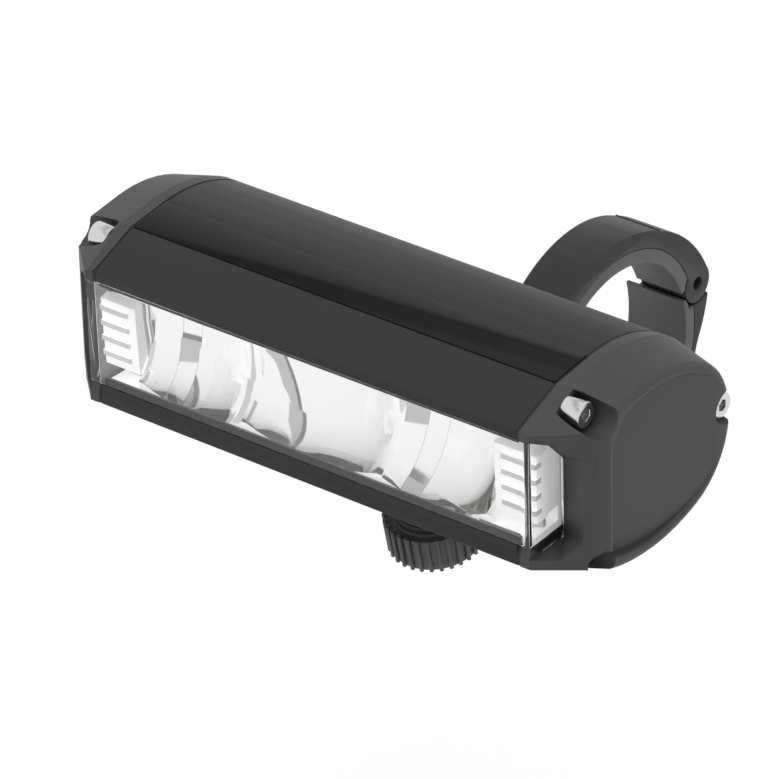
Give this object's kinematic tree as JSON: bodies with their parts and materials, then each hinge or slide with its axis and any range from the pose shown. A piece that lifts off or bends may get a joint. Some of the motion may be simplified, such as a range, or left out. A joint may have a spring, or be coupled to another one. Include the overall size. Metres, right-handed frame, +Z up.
{
  "type": "bicycle headlight",
  "caption": "Rechargeable handlebar headlight: extruded body with wrap-around lens, mirror cells and side light bars, on a hinged bar clamp drawn shut by a ribbed knob.",
  "frame": {"origin": "centre of the handlebar bore, midway along the lower clamp half", "axes": "X along the handlebar, -Y forwards (the way the lamp shines), +Z up"},
  "size_m": [0.085, 0.0831, 0.0562],
  "materials": {
    "body_aluminium": "dark grey anodised, satin",
    "gloss_black": "glossy black",
    "cap_plastic": "dark grey, fine matte",
    "black_rubber": "matte black",
    "screw_steel": "turned steel",
    "lens_clear": "clear moulded lens",
    "reflector_chrome": "vacuum metallised",
    "diffuser_white": "milky white",
    "board_white": "white solder mask",
    "board_metal": "aluminium-core board",
    "led_dome": "silicone dome over phosphor",
    "wire_sleeve": "silicone sleeve",
    "cell_wrap": "shrink wrap",
    "inner_plastic": "moulded black",
    "board_green": "green solder mask",
    "button_rubber": "soft grey",
    "clamp_aluminium": "dark grey anodised, satin",
    "liner_rubber": "smooth dark rubber",
    "insert_brass": "turned",
    "knob_metal": "dark grey anodised, ribbed"
  },
  "bodies": {
    "lamp": {"housing": "body_aluminium", "top_strip": "gloss_black", "end_cap_left": "cap_plastic", "end_cap_right": "cap_plastic", "gasket_left": "black_rubber", "gasket_right": "black_rubber", "cap_screws_left": "screw_steel", "cap_screws_right": "screw_steel", "front_lens": "lens_clear", "lens_seal": "black_rubber", "reflector": "reflector_chrome", "light_bar_left": "diffuser_white", "light_bar_right": "diffuser_white", "side_led_board_left": "board_white", "side_led_board_right": "board_white", "main_led_board": "board_metal", "led_emitters": "led_dome", "led_leads": "wire_sleeve", "battery_cell": "cell_wrap", "battery_cradle": "inner_plastic", "battery_leads": "wire_sleeve", "driver_board": "board_green", "driver_parts": "inner_plastic", "port_board": "board_green", "port_leads": "wire_sleeve", "usb_socket": "screw_steel", "tact_switch": "inner_plastic", "button_seal": "black_rubber", "mount_saddle": "cap_plastic", "mount_screws": "screw_steel", "clamp_upper": "clamp_aluminium", "liner_upper": "liner_rubber", "hinge_pin": "screw_steel", "threaded_insert": "insert_brass"},
    "lower_clamp": {"clamp_lower": "clamp_aluminium", "liner_lower": "liner_rubber"},
    "washer": {"knob_washer": "screw_steel"},
    "clamp_knob": {"clamp_screw": "screw_steel", "knob": "knob_metal"},
    "button": {"power_button": "button_rubber"},
    "cover": {"port_cover": "black_rubber"}
  },
  "joints": [
    {"name": "clamp_hinge", "type": "hinge", "parent": "lamp", "child": "lower_clamp", "pos_m": [0.00105, 0.01865, 0.00557], "axis": [1, 0, 0], "range_deg": [0, 75]},
    {"name": "screw_travel", "type": "slide", "parent": "lower_clamp", "child": "washer", "axis": [0, 0.2062, -0.9785], "range_m": [0, 0.003]},
    {"name": "knob_turn", "type": "hinge", "parent": "washer", "child": "clamp_knob", "pos_m": [0, -0.03483, -0.00734], "axis": [0, 0.2062, -0.9785], "range_deg": [0, 1350]},
    {"name": "button_press", "type": "slide", "parent": "lamp", "child": "button", "axis": [1, 0, 0], "range_m": [0, 0.0006], "stiffness_N_per_m": 1000},
    {"name": "cover_swing", "type": "hinge", "parent": "lamp", "child": "cover", "pos_m": [-0.0415, -0.0376, 0.01615], "axis": [0, -1, 0], "range_deg": [0, 120]}
  ],
  "couplings": [
    {"joint": "knob_turn", "follows": "screw_travel", "rad_per_m": 7854}
  ]
}
